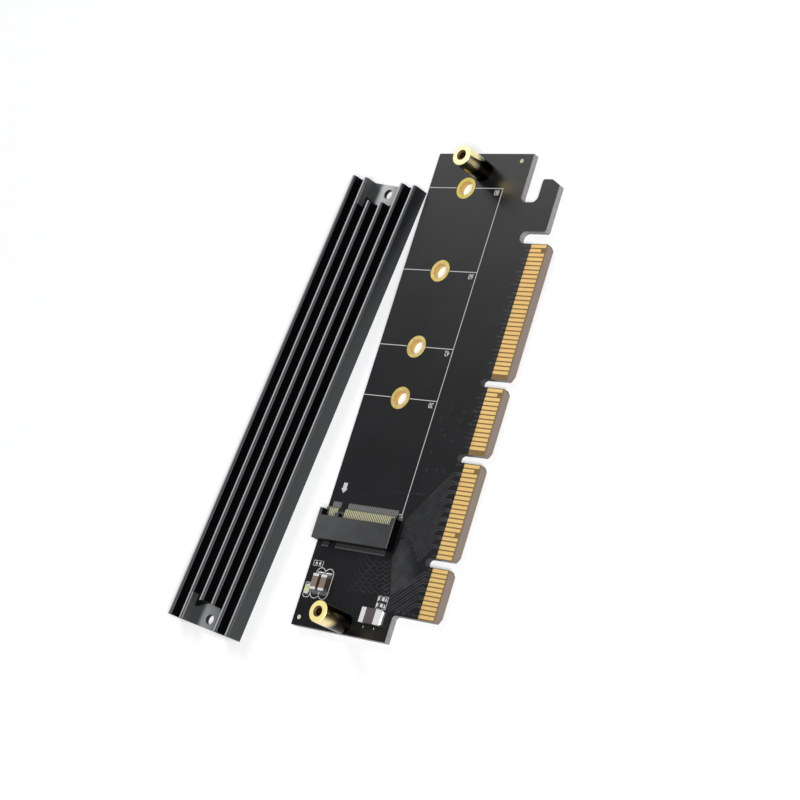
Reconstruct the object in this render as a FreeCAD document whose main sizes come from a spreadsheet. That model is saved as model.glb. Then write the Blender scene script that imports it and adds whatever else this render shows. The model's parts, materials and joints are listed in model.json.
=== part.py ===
import FreeCAD, Part
import Sketcher
import os
import re
from math import hypot

# A PCI Express x16 adapter card for one M.2 drive, lying on its soldered side, with its
# finned cover lying beside it.
# Frame: X along the card, towards its hook end. Y across it, away from the edge contacts.
# Z up, out of the component side. The origin is on the underside, where the centre line of
# the key notch meets the outer edge of the contact tab.

sizes = {
    # Edge contacts: they stand on a grid that has the key notch in the middle of a step
    "finger_pitch": 1.0,
    "finger_wide": 0.7,
    "finger_tip": 1.32,
    "finger_root": 5.4,
    "finger_short": 1.1,
    "skin": 0.05,
    # Contact tab, with its ends measured from the outermost contacts
    "tab_start_margin": 0.35,
    "tab_end_margin": 0.2,
    "tab_corner": 1.1,
    "bevel_deep": 0.9,
    "bevel_rise": 0.45,
    "notch_wide": 1.9,
    "notch_deep": 7.85,
    "slot_flat": 0.05,
    # Board: its ends measured from the tab and from the farthest drive hole
    "board_thick": 1.6,
    "shoulder": 12.15,
    "shoulder_round": 0.9,
    "bracket_step": 6.0,
    "hook_margin": 8.4,
    # Retaining hook beyond the tab
    "gap_wide": 2.85,
    "gap_deep": 9.15,
    "hook_low": 2.65,
    "hook_deep": 4.9,
    "hook_long": 12.3,
    "hook_nose": 1.4,
    "hook_nose_rise": 2.4,
    "hook_round": 0.5,
    "slot_long": 5.5,
    "slot_round": 1.5,
    # Drive bay: the socket's stop, from the key notch, each drive length from there, and the
    # drive's centre line, from the shoulder beside the tab
    "drive_seat": 4.8,
    "drive_rise": 16.35,
    "first_drive": 30,
    "second_drive": 42,
    "third_drive": 60,
    "fourth_drive": 80,
    "hole_ring": 2.57,
    "hole_bore": 1.75,
    "plating": 0.2,
    # Fiducial marks, measured from the nearest ends and edges of the board
    "mark_radius": 0.5,
    "hook_mark_end": 1.7,
    "hook_mark_edge": 2.9,
    "bracket_mark_end": 1.8,
    "bracket_mark_edge": 1.65,
    # Drive socket, measured from its stop, its middle and the top of the board
    "socket_back": 3.9,
    "socket_high": 2.2,
    "socket_post": 0.95,
    "socket_overhang": 0.2,
    "socket_chamfer": 0.15,
    "jaw_long": 1.3,
    "lip_long": 2.9,
    "lip_high": 0.56,
    "slot_high": 1.06,
    "slot_margin": 0.64,
    "key_wide": 1.2,
    "key_long": 2.3,
    "contact_pitch": 0.5,
    "contact_wide": 0.22,
    "contact_thick": 0.12,
    "contact_drop": 0.06,
    "contact_reach": 0.5,
    "contact_slope": 0.55,
    "tail_long": 0.9,
    "spring_bend": 0.2,
    "spring_low": 0.7,
    "spring_long": 1.1,
    "spring_dip": 0.25,
    "spring_tip": 0.1,
    "peg_radius": 0.6,
    "peg_inset": 1.35,
    "peg_back": 1.9,
    "foot_wide": 0.8,
    "foot_long": 1.6,
    "foot_thick": 0.15,
    "foot_reach": 0.7,
    # Threaded pillars that carry the finned cover, measured from the board's ends and from
    # the drive's centre line
    "pillar_high": 8.5,
    "pillar_radius": 2.4,
    "pillar_bore": 0.8,
    "pillar_mouth": 1.2,
    "pillar_shank": 1.6,
    "pillar_chamfer": 0.15,
    "pillar_below": 3.6,
    "bracket_pillar": 2.4,
    "hook_pillar": 4.35,
    # Finned cover: its screw holes are as far apart as the pillars
    "cover_margin": 2.175,
    "cover_high": 4.1,
    "cover_web": 2.0,
    "cover_floor": 1.0,
    "fin_pitch": 3.9,
    "fin_wide": 1.2,
    "fin_chamfer": 0.22,
    "pocket_deep": 5.6,
    "pocket_round": 9.0,
    "cover_hole": 1.2,
    "cover_turn": 6.8,
    "cover_gap": 1.8,
    "cover_shift": 6.3,
    # Small parts: place from the bracket end and from the nearest edge, then size
    "cap_thick": 0.06,
    "capacitor_end": 9.8,
    "capacitor_edge": 5.2,
    "capacitor_pitch": 2.4,
    "capacitor_long": 3.5,
    "capacitor_wide": 1.65,
    "capacitor_high": 1.35,
    "capacitor_band": 0.55,
    "filter_end": 8.07,
    "filter_edge": 3.9,
    "filter_pitch": 1.35,
    "filter_long": 1.6,
    "filter_wide": 0.8,
    "filter_high": 0.7,
    "filter_band": 0.4,
    "fuse_end": 4.8,
    "fuse_edge": 5.5,
    "fuse_long": 5.2,
    "fuse_wide": 3.3,
    "fuse_high": 0.85,
    "fuse_band": 1.25,
    "lamp_end": 8.1,
    "lamp_edge": 1.65,
    "lamp_long": 2.0,
    "lamp_wide": 1.1,
    "lamp_high": 0.3,
    "lamp_band": 0.35,
    "lens_long": 1.24,
    "lens_wide": 1.0,
    "lens_high": 0.35,
    "lens_lean": 8,
}

doc = FreeCAD.newDocument("adapter_card")
sheet = doc.addObject("Spreadsheet::Sheet", "Sizes")
for line, (name, value) in enumerate(sizes.items(), 1):
    sheet.set(f"A{line}", name)
    sheet.set(f"B{line}", str(value))
    sheet.setAlias(f"B{line}", name)
doc.recompute()


def cells(words):
    """Turn the names of sizes in a formula into references to the sheet."""
    return re.sub(r"[a-z][a-z_]*\b(?!\()", r"Sizes.\g<0>", words)


def bind(thing, field, words):
    thing.setExpression(field, cells(words))


def reading(words):
    return float(sheet.evalExpression(cells(words)))


def newBody(label, x="0", y="0", z="0"):
    """A body whose own frame stands at x, y, z in the card's frame."""
    body = doc.addObject("PartDesign::Body", label)
    body.Label = label
    body.AllowCompound = True
    for axis, words in zip("xyz", (x, y, z)):
        bind(body, f"Placement.Base.{axis}", words)
    return body


def originPart(body, role):
    return next(part for part in body.Origin.OriginFeatures if part.Role == role)


def newSketch(body, plane="XY_Plane", lift="0"):
    """A sketch on one of the body's own planes, moved along the plane's normal by lift."""
    sketch = body.newObject("Sketcher::SketchObject", body.Name + "_sketch")
    sketch.AttachmentSupport = [(originPart(body, plane), "")]
    sketch.MapMode = "FlatFace"
    bind(sketch, "AttachmentOffset.Base.z", lift)
    return sketch


def pin(sketch, kind, ends, words):
    """Add one dimension to a sketch and bind it to the sheet."""
    number = sketch.addConstraint(Sketcher.Constraint(kind, *ends, reading(words)))
    bind(sketch, f"Constraints[{number}]", words)


def polygon(sketch, corners):
    """Add a closed outline with straight sides, each corner bound to the sheet."""
    first = sketch.GeometryCount
    spots = [FreeCAD.Vector(reading(x), reading(y), 0) for x, y in corners]
    for here, there in zip(spots, spots[1:] + spots[:1]):
        sketch.addGeometry(Part.LineSegment(here, there))
    for step, (x, y) in enumerate(corners):
        side = first + step
        following = first + (step + 1) % len(corners)
        sketch.addConstraint(Sketcher.Constraint("Coincident", side, 2, following, 1))
        pin(sketch, "DistanceX", (-1, 1, side, 1), x)
        pin(sketch, "DistanceY", (-1, 1, side, 1), y)


def box(sketch, left, right, low, high):
    polygon(sketch, [(left, low), (right, low), (right, high), (left, high)])


def circle(sketch, x, y, radius):
    middle = FreeCAD.Vector(reading(x), reading(y), 0)
    ring = sketch.addGeometry(Part.Circle(middle, FreeCAD.Vector(0, 0, 1), reading(radius)))
    pin(sketch, "DistanceX", (-1, 1, ring, 3), x)
    pin(sketch, "DistanceY", (-1, 1, ring, 3), y)
    pin(sketch, "Radius", (ring,), radius)


def pad(body, sketch, length, both=False, down=False):
    """Grow a sketch along its normal, against it, or by half the length to each side."""
    feature = body.newObject("PartDesign::Pad", body.Name + "_pad")
    feature.Profile = sketch
    feature.Reversed = down
    feature.SideType = "Symmetric" if both else "One side"
    bind(feature, "Length", length)
    doc.recompute()
    return feature


def pocket(body, sketch, length, along=False):
    """Cut a sketch against its normal, or along it."""
    before = body.Shape.Volume
    feature = body.newObject("PartDesign::Pocket", body.Name + "_pocket")
    feature.Profile = sketch
    feature.Reversed = along
    bind(feature, "Length", length)
    doc.recompute()
    if body.Shape.Volume >= before:
        raise ValueError(f"{body.Label}: a pocket cuts nothing")
    return feature


def turn(body, sketch):
    """Turn a profile once about the body's own Z axis."""
    feature = body.newObject("PartDesign::Revolution", body.Name + "_turn")
    feature.Profile = sketch
    feature.ReferenceAxis = (originPart(body, "Z_Axis"), [""])
    feature.Angle = 360
    doc.recompute()


def row(body, feature, axis, step, count):
    """Repeat a feature along one of the body's own axes."""
    pattern = body.newObject("PartDesign::LinearPattern", body.Name + "_row")
    pattern.Originals = [feature]
    pattern.Direction = (originPart(body, axis), [""])
    pattern.Mode = "Spacing"
    bind(pattern, "Offset", step)
    pattern.Occurrences = count
    body.Tip = pattern
    doc.recompute()


def mirror(body, features, plane):
    copy = body.newObject("PartDesign::Mirrored", body.Name + "_mirror")
    copy.Originals = features
    copy.MirrorPlane = (originPart(body, plane), [""])
    body.Tip = copy
    doc.recompute()


def dress(body, kind, feature, edges, field, words):
    """Round or chamfer the named edges of the body's last feature."""
    if not edges:
        raise ValueError(f"{body.Label}: no edges to dress")
    finish = body.newObject(kind, body.Name + "_edges")
    finish.Base = (feature, edges)
    bind(finish, field, words)
    doc.recompute()
    return finish


def uprightEdges(feature, corners):
    """Names of the vertical edges that stand on the given corners."""
    spots = [(reading(x), reading(y)) for x, y in corners]
    names = []
    for number, edge in enumerate(feature.Shape.Edges, 1):
        low, high = edge.Vertexes[0].Point, edge.Vertexes[-1].Point
        upright = hypot(low.x - high.x, low.y - high.y) < 1e-6
        if upright and any(hypot(low.x - x, low.y - y) < 1e-3 for x, y in spots):
            names.append(f"Edge{number}")
    return names


def topEdges(feature):
    """Names of the edges that lie level at the feature's highest point."""
    level = feature.Shape.BoundBox.ZMax
    names = []
    for number, edge in enumerate(feature.Shape.Edges, 1):
        if all(abs(corner.Point.z - level) < 1e-6 for corner in edge.Vertexes):
            names.append(f"Edge{number}")
    return names


# Where the ends of the board, tab and hook lie along the card
tabStart = "-(11.5 * finger_pitch + finger_wide / 2 + tab_start_margin)"
tabEnd = "(71.5 * finger_pitch + finger_wide / 2 + tab_end_margin)"
bracketEnd = f"({tabStart} - bracket_step)"
hookEnd = "(drive_seat + fourth_drive + hook_margin)"
hookRoot = f"({tabEnd} + gap_wide)"
hookTip = f"({hookRoot} + hook_long)"
slotEnd = f"({hookTip} - slot_long)"
hookHigh = "(hook_low + hook_deep)"
boardLong = f"({hookEnd} - {bracketEnd})"

# The socket's slot and housing reach this far to each side of the drive's centre line, and
# the housing stands out over the board's far edge
slotHalf = "(18.5 * contact_pitch + contact_wide / 2 + slot_margin)"
socketHalf = f"({slotHalf} + socket_post)"
pegOffset = f"({socketHalf} - peg_inset)"
driveAxis = "(shoulder + drive_rise)"
boardDeep = f"({driveAxis} + {socketHalf} - socket_overhang)"

notches = ["0", "23 * finger_pitch", "40 * finger_pitch"]
drives = {"30": "first_drive", "42": "second_drive", "60": "third_drive", "80": "fourth_drive"}
pillarLine = f"({driveAxis} - pillar_below)"
pillars = {
    "bracket_end": f"({bracketEnd} + bracket_pillar)",
    "hook_end": f"({hookEnd} - hook_pillar)",
}
marks = {
    "hook_end": (f"{hookEnd} - hook_mark_end", "shoulder + hook_mark_edge"),
    "bracket_end": (f"{bracketEnd} + bracket_mark_end", f"{boardDeep} - bracket_mark_edge"),
}


def notchCorners(level):
    """Both corners of each notch, at its mouth or at its end."""
    return [(f"{middle} {side} notch_wide / 2", level) for middle in notches for side in "-+"]


def boardOutline():
    """Corners from the bracket end round the tab, its notches and the hook."""
    corners = [(bracketEnd, "shoulder"), (tabStart, "shoulder"), (tabStart, "0")]
    mouths, ends = notchCorners("0"), notchCorners("notch_deep")
    for number in range(0, len(mouths), 2):
        corners += [mouths[number], ends[number], ends[number + 1], mouths[number + 1]]
    corners += [(tabEnd, "0"), (tabEnd, "gap_deep"), (hookRoot, "gap_deep")]
    corners += [(hookRoot, "hook_low"), (f"{hookTip} - hook_nose", "hook_low")]
    corners += [(hookTip, "hook_low + hook_nose_rise"), (hookTip, hookHigh)]
    corners += [(slotEnd, hookHigh), (slotEnd, "shoulder"), (hookEnd, "shoulder")]
    corners += [(hookEnd, boardDeep), (bracketEnd, boardDeep)]
    return corners


def makeBoard():
    body = newBody("circuit_board")
    sketch = newSketch(body)
    polygon(sketch, boardOutline())
    solid = pad(body, sketch, "board_thick")

    # Rounded inner corners, then chamfered outer corners of the tab
    slotHalf = f"(shoulder - {hookHigh}) / 2 - slot_flat"
    rounds = [
        (notchCorners("notch_deep"), "notch_wide / 2 - slot_flat"),
        ([(tabEnd, "gap_deep"), (hookRoot, "gap_deep")], "gap_wide / 2 - slot_flat"),
        ([(slotEnd, hookHigh), (slotEnd, "shoulder")], f"min(slot_round; {slotHalf})"),
        ([(hookRoot, "hook_low"), (hookTip, hookHigh)], "hook_round"),
        ([(tabStart, "shoulder")], "shoulder_round"),
    ]
    for corners, radius in rounds:
        edges = uprightEdges(solid, corners)
        solid = dress(body, "PartDesign::Fillet", solid, edges, "Radius", radius)
    edges = uprightEdges(solid, notchCorners("0") + [(tabStart, "0"), (tabEnd, "0")])
    dress(body, "PartDesign::Chamfer", solid, edges, "Size", "tab_corner")

    # Bevel on both faces of the tab's outer edge
    sketch = newSketch(body, "YZ_Plane", f"{tabStart} - 1")
    polygon(sketch, [("-1", "-1"), ("bevel_deep", "-1"), ("bevel_deep", "0"),
                     ("0", "bevel_rise"), ("-1", "bevel_rise")])
    polygon(sketch, [("-1", "board_thick + 1"), ("bevel_deep", "board_thick + 1"),
                     ("bevel_deep", "board_thick"), ("0", "board_thick - bevel_rise"),
                     ("-1", "board_thick - bevel_rise")])
    pocket(body, sketch, f"{tabEnd} - {tabStart} + 2", along=True)

    # Bare band of the tab and seats of the rings and marks, one skin lower than the mask
    for lift, along in (("skin", False), ("board_thick - skin", True)):
        sketch = newSketch(body, "XY_Plane", lift)
        box(sketch, f"{tabStart} - 1", f"{tabEnd} + gap_wide / 2", "-1", "finger_root")
        pocket(body, sketch, "skin", along)
    sketch = newSketch(body, "XY_Plane", "board_thick - skin")
    for reach in drives.values():
        circle(sketch, f"drive_seat + {reach}", driveAxis, "hole_ring")
    for x, y in marks.values():
        circle(sketch, x, y, "mark_radius")
    pocket(body, sketch, "skin", along=True)

    # Drilled holes: drive holes, pillar shanks and the socket's pegs
    sketch = newSketch(body)
    for reach in drives.values():
        circle(sketch, f"drive_seat + {reach}", driveAxis, "hole_bore + plating")
    for x in pillars.values():
        circle(sketch, x, pillarLine, "pillar_shank")
    for side in "-+":
        circle(sketch, "drive_seat - peg_back", f"{driveAxis} {side} {pegOffset}", "peg_radius")
    pocket(body, sketch, "board_thick", along=True)


# Each run of edge contacts between notches: its first step on the grid and how many follow
runs = {"1": (-12, 11), "2": (1, 21), "3": (25, 14), "4": (42, 30)}
# Steps whose contact ends early, to sense that the card is fully in
shortTop = {"1": [], "2": [6, 20], "3": [37], "4": [70]}
shortUnder = {"1": [-12], "2": [], "3": [], "4": []}


def makeFingers(side, number, lift, short):
    """Gold strips of one run, side by side along the tab."""
    first, count = runs[number]
    body = newBody(f"edge_contacts_{side}_{number}", z=lift)
    sketch = newSketch(body)
    middle = f"{first + 0.5} * finger_pitch"
    box(sketch, f"{middle} - finger_wide / 2", f"{middle} + finger_wide / 2",
        "finger_tip", "finger_root")
    row(body, pad(body, sketch, "skin"), "X_Axis", "finger_pitch", count)
    for step in short:
        sketch = newSketch(body)
        box(sketch, f"{step} * finger_pitch", f"{step + 1} * finger_pitch",
            "0", "finger_tip + finger_short")
        pocket(body, sketch, "skin", along=True)


def makePlating(name, reach):
    """A plated barrel with a flat ring on the component side."""
    body = newBody(f"drive_hole_plating_{name}", x=f"drive_seat + {reach}", y=driveAxis)
    sketch = newSketch(body, "XZ_Plane")
    wall = "hole_bore + plating"
    polygon(sketch, [("hole_bore", "0"), (wall, "0"), (wall, "board_thick - skin"),
                     ("hole_ring", "board_thick - skin"), ("hole_ring", "board_thick"),
                     ("hole_bore", "board_thick")])
    turn(body, sketch)


def makeMark(name, x, y):
    body = newBody(f"fiducial_mark_{name}", x=x, y=y, z="board_thick - skin")
    sketch = newSketch(body)
    circle(sketch, "0", "0", "mark_radius")
    pad(body, sketch, "skin")


def makePillar(name, x):
    """A round pillar on the board, its shank pressed into the board's hole."""
    body = newBody(f"pillar_{name}", x=x, y=pillarLine, z="board_thick")
    sketch = newSketch(body, "XZ_Plane")
    polygon(sketch, [("pillar_bore", "-board_thick"), ("pillar_shank", "-board_thick"),
                     ("pillar_shank", "0"), ("pillar_radius", "0"),
                     ("pillar_radius", "pillar_high - pillar_chamfer"),
                     ("pillar_radius - pillar_chamfer", "pillar_high"),
                     ("pillar_mouth", "pillar_high"),
                     ("pillar_bore", "pillar_high - (pillar_mouth - pillar_bore)")])
    turn(body, sketch)


# Drive socket: each row's first contact on its grid and how many follow, either side of
# the key. The lower row stands half a step away from the upper one.
lowerRow = [(-18.5, 29), (14.5, 5)]
upperRow = [(-18, 29), (15, 4)]
keyMiddle = "12.25 * contact_pitch"
ceiling = "lip_high + slot_high"
feet = [f"{side}({socketHalf} - socket_post / 2)" for side in "-+"]


def socketBody(label):
    return newBody(label, x="drive_seat", y=driveAxis, z="board_thick")


def footprint(sketch):
    """Outlines of the two metal feet under the housing's end posts."""
    for middle in feet:
        box(sketch, "lip_long + foot_reach - foot_long", "lip_long + foot_reach",
            f"{middle} - foot_wide / 2", f"{middle} + foot_wide / 2")


def makeSocketHousing():
    """The moulded housing: a lip below, a shorter jaw above and a keyed slot between."""
    body = socketBody("drive_socket_housing")
    sketch = newSketch(body, "XZ_Plane")
    box(sketch, "-socket_back", "lip_long", "0", "socket_high")
    block = pad(body, sketch, f"2 * {socketHalf}", both=True)
    dress(body, "PartDesign::Chamfer", block, topEdges(block), "Size", "socket_chamfer")

    # The mouth is open above the lip, in front of the jaw, between the two end posts
    for start, high in (("jaw_long", "socket_high"), ("0", "slot_high")):
        sketch = newSketch(body, "XY_Plane", "lip_high")
        box(sketch, start, "lip_long + 1", f"-{slotHalf}", slotHalf)
        pocket(body, sketch, high, along=True)
    sketch = newSketch(body, "XY_Plane", "lip_high")
    box(sketch, "0", "key_long", f"{keyMiddle} - key_wide / 2", f"{keyMiddle} + key_wide / 2")
    pad(body, sketch, "slot_high")

    # Grooves that hold the lower contacts in the lip
    for first, count in lowerRow:
        low = f"{first} * contact_pitch - contact_wide / 2"
        sketch = newSketch(body, "XY_Plane", "lip_high - contact_drop")
        box(sketch, "0", "lip_long + 1", low, f"{low} + contact_wide")
        groove = pocket(body, sketch, "slot_high", along=True)
        row(body, groove, "Y_Axis", "contact_pitch", count)

    # Channels that hold the upper contacts: down the rear face and along the slot's ceiling
    for first, count in upperRow:
        low = f"{first} * contact_pitch - contact_wide / 2"
        sketch = newSketch(body)
        box(sketch, "-socket_back - 1", "-socket_back + contact_thick",
            low, f"{low} + contact_wide")
        channel = pocket(body, sketch, f"{ceiling} + contact_thick", along=True)
        row(body, channel, "Y_Axis", "contact_pitch", count)
        sketch = newSketch(body, "YZ_Plane", "-socket_back")
        box(sketch, low, f"{low} + contact_wide", ceiling, f"{ceiling} + contact_thick")
        channel = pocket(body, sketch, "socket_back + spring_long", along=True)
        row(body, channel, "Y_Axis", "contact_pitch", count)

    # Locating pegs down through the board, and seats for the metal feet
    sketch = newSketch(body)
    for side in "-+":
        circle(sketch, "-peg_back", f"{side}{pegOffset}", "peg_radius")
    pad(body, sketch, "board_thick", down=True)
    sketch = newSketch(body)
    footprint(sketch)
    pocket(body, sketch, "foot_thick", along=True)


def makeSocketFeet():
    body = socketBody("drive_socket_feet")
    sketch = newSketch(body)
    footprint(sketch)
    pad(body, sketch, "foot_thick")


def contactRow(label, corners, groups):
    """Strips of one profile, in the two groups either side of the key."""
    body = socketBody(label)
    for first, count in groups:
        sketch = newSketch(body, "XZ_Plane", f"-({first} * contact_pitch)")
        polygon(sketch, corners)
        strip = pad(body, sketch, "contact_wide", both=True)
        row(body, strip, "Y_Axis", "contact_pitch", count)


def makeLowerContacts():
    """Strips along the lip that step down to solder tails in front of the socket."""
    low = "lip_high - contact_drop"
    high = f"{low} + contact_thick"
    bend = "lip_long + contact_reach"
    foot = f"{bend} + contact_slope"
    contactRow("drive_socket_lower_contacts", [
        ("0", low), (bend, low), (foot, "0"), (f"{foot} + tail_long", "0"),
        (f"{foot} + tail_long", "contact_thick"),
        (f"{foot} + contact_thick / 2", "contact_thick"),
        (f"{bend} + contact_thick / 2", high), ("0", high),
    ], lowerRow)


def makeUpperContacts():
    """Springs under the jaw, with solder tails behind the socket."""
    rear = "-socket_back"
    top = f"{ceiling} + contact_thick"
    dip = f"{ceiling} - spring_dip"
    contactRow("drive_socket_upper_contacts", [
        (f"{rear} - tail_long", "0"), (f"{rear} + contact_thick", "0"),
        (f"{rear} + contact_thick", ceiling), ("spring_bend", ceiling), ("spring_low", dip),
        ("spring_long", f"{ceiling} - spring_tip"), ("spring_long", ceiling),
        ("spring_low + contact_thick / 2", f"{dip} + contact_thick"),
        ("spring_bend + contact_thick / 2", top), (rear, top), (rear, "contact_thick"),
        (f"{rear} - tail_long", "contact_thick"),
    ], upperRow)


# Finned cover: from the middle to its outermost face, to the screw hole and to its end
coverHalf = "(2.5 * fin_pitch + fin_wide / 2)"
holeReach = f"({pillars['hook_end']} - {pillars['bracket_end']}) / 2"
coverReach = f"({holeReach} + cover_margin)"


def coverSection():
    """An upright comb: a web with six fins, each with chamfered upper edges."""
    corners = [(f"-{coverHalf}", "0"), (coverHalf, "0")]
    for step in range(6):
        middle = f"{2.5 - step} * fin_pitch"
        right, left = f"{middle} + fin_wide / 2", f"{middle} - fin_wide / 2"
        if step > 0:
            corners.append((right, "cover_web"))
        corners += [(right, "cover_high - fin_chamfer"), (f"{right} - fin_chamfer", "cover_high")]
        corners += [(f"{left} + fin_chamfer", "cover_high"), (left, "cover_high - fin_chamfer")]
        if step < 5:
            corners.append((left, "cover_web"))
    return corners


def makeCover():
    """An extruded comb, milled at both ends for the screws and laid down beside the card."""
    across = f"{coverReach} * sin(cover_turn) + {coverHalf} * cos(cover_turn)"
    body = newBody("finned_cover", x=f"{bracketEnd} + {boardLong} / 2 - cover_shift",
                   y=f"{boardDeep} + cover_gap + {across}")
    bind(body, "Placement.Rotation.Angle", "-cover_turn")
    sketch = newSketch(body, "YZ_Plane")
    polygon(sketch, coverSection())
    pad(body, sketch, f"2 * {coverReach}", both=True)

    # Pocket over the screw: straight sides along the second and fifth fins, round inner end
    half = "(1.5 * fin_pitch - fin_wide / 2)"
    middle = f"{coverReach} - pocket_deep + pocket_round"
    inner = reading(f"{middle} - sqrt(pocket_round ^ 2 - {half} ^ 2)")
    outer, side = reading(f"{coverReach} + 1"), reading(half)
    low, high = FreeCAD.Vector(inner, -side, 0), FreeCAD.Vector(inner, side, 0)
    farLow, farHigh = FreeCAD.Vector(outer, -side, 0), FreeCAD.Vector(outer, side, 0)
    apex = FreeCAD.Vector(reading(f"{coverReach} - pocket_deep"), 0, 0)
    sketch = newSketch(body, "XY_Plane", "cover_floor")
    arc = sketch.addGeometry(Part.Arc(low, apex, high))
    upper = sketch.addGeometry(Part.LineSegment(high, farHigh))
    end = sketch.addGeometry(Part.LineSegment(farHigh, farLow))
    lower = sketch.addGeometry(Part.LineSegment(farLow, low))
    arcLow, arcHigh = (1, 2) if sketch.getPoint(arc, 1).y < 0 else (2, 1)
    for joint in ((arc, arcHigh, upper, 1), (upper, 2, end, 1),
                  (end, 2, lower, 1), (lower, 2, arc, arcLow)):
        sketch.addConstraint(Sketcher.Constraint("Coincident", *joint))
    sketch.addConstraint(Sketcher.Constraint("Vertical", end))
    for line, place in ((upper, half), (lower, f"-{half}")):
        pin(sketch, "DistanceY", (-1, 1, line, 1), place)
        pin(sketch, "DistanceY", (-1, 1, line, 2), place)
    pin(sketch, "DistanceX", (-1, 1, end, 1), f"{coverReach} + 1")
    pin(sketch, "DistanceX", (-1, 1, arc, 3), middle)
    pin(sketch, "Radius", (arc,), "pocket_round")
    floor = pocket(body, sketch, "cover_high", along=True)

    # Screw hole in the pocket's floor
    sketch = newSketch(body)
    circle(sketch, holeReach, "0", "cover_hole")
    hole = pocket(body, sketch, "cover_high", along=True)
    mirror(body, [floor, hole], "YZ_Plane")


# Small part: the first word of its sizes, its middle along and across, and its turn
chips = {
    "power_fuse": ("fuse", f"{bracketEnd} + fuse_end", "shoulder + fuse_edge", 90),
    "power_lamp": ("lamp", f"{bracketEnd} + lamp_end", f"{boardDeep} - lamp_edge", 0),
}
for number, side in (("1", "+"), ("2", "-")):
    chips[f"capacitor_{number}"] = (
        "capacitor", f"{bracketEnd} + capacitor_end",
        f"{boardDeep} - capacitor_edge {side} capacitor_pitch / 2", 0)
    chips[f"filter_capacitor_{number}"] = (
        "filter", f"{bracketEnd} + filter_end {side} filter_pitch / 2",
        "shoulder + filter_edge", 90)


def chipBody(label, ending):
    """A body in the middle of a small part, turned as the part is."""
    kind, along, across, angle = chips[label]
    body = newBody(label + ending, x=along, y=across, z="board_thick")
    body.Placement.Rotation = FreeCAD.Rotation(FreeCAD.Vector(0, 0, 1), angle)
    return body, kind


def makeChipBody(label):
    """Ceramic or moulded body, one cap thickness smaller where the metal ends cover it."""
    body, kind = chipBody(label, "_body")
    for end, inset in ((f"{kind}_band", "0"), ("cap_thick", "cap_thick")):
        sketch = newSketch(body, "YZ_Plane")
        box(sketch, f"-{kind}_wide / 2 + {inset}", f"{kind}_wide / 2 - {inset}",
            inset, f"{kind}_high - {inset}")
        pad(body, sketch, f"{kind}_long - 2 * {end}", both=True)


def makeChipEnds(label):
    """Metal end caps, open towards the body."""
    body, kind = chipBody(label, "_ends")
    inner = f"{kind}_long / 2 - {kind}_band"
    sketch = newSketch(body, "YZ_Plane", inner)
    box(sketch, f"-{kind}_wide / 2", f"{kind}_wide / 2", "0", f"{kind}_high")
    block = pad(body, sketch, f"{kind}_band")
    sketch = newSketch(body, "YZ_Plane", inner)
    box(sketch, f"-{kind}_wide / 2 + cap_thick", f"{kind}_wide / 2 - cap_thick",
        "cap_thick", f"{kind}_high - cap_thick")
    hollow = pocket(body, sketch, f"{kind}_band - cap_thick", along=True)
    mirror(body, [block, hollow], "YZ_Plane")


def makeLens():
    """Clear block of the power lamp, with sides that lean inwards."""
    body = newBody("power_lamp_lens", x=f"{bracketEnd} + lamp_end",
                   y=f"{boardDeep} - lamp_edge", z="board_thick + lamp_high")
    sketch = newSketch(body)
    box(sketch, "-lens_long / 2", "lens_long / 2", "-lens_wide / 2", "lens_wide / 2")
    bind(pad(body, sketch, "lens_high"), "TaperAngle", "-lens_lean")


makeBoard()
for number in runs:
    makeFingers("top", number, "board_thick - skin", shortTop[number])
    makeFingers("under", number, "0", shortUnder[number])
for name, reach in drives.items():
    makePlating(name, reach)
for name, (x, y) in marks.items():
    makeMark(name, x, y)
for name, x in pillars.items():
    makePillar(name, x)
makeSocketHousing()
makeSocketFeet()
makeLowerContacts()
makeUpperContacts()
for label in chips:
    makeChipBody(label)
    makeChipEnds(label)
makeLens()
makeCover()
doc.recompute()

for thing in doc.Objects:
    if "Invalid" in thing.State or "Error" in thing.State:
        raise ValueError(f"{thing.Label} has failed: {thing.State}")
bodies = [thing for thing in doc.Objects if thing.TypeId == "PartDesign::Body"]
for body in bodies:
    if body.Shape.isNull() or not body.Shape.isValid():
        raise ValueError(f"{body.Label} has no valid shape")

os.makedirs("parts", exist_ok=True)
for body in bodies:
    body.Shape.exportStep(f"parts/{body.Label}.step")
    print(body.Label, len(body.Shape.Solids), "solids", round(body.Shape.Volume, 3), "mm3")
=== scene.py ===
import json
import math
import random

import bmesh
import bpy
from mathutils import Matrix, Vector


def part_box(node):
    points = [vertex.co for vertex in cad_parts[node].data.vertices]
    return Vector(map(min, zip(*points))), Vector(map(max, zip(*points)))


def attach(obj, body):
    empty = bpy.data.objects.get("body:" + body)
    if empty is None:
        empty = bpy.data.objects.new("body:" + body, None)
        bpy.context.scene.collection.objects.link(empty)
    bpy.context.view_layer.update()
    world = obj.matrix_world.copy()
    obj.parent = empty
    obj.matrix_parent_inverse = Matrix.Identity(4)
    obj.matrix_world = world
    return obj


# A black adapter card with a drive socket, gold contacts and pillars, and its finned cover.
# Lengths in the dictionaries are millimetres, in the card's own frame: X runs along the card
# to its hook end, Y across it from the contacts to the far side, Z up from the soldered side.

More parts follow.
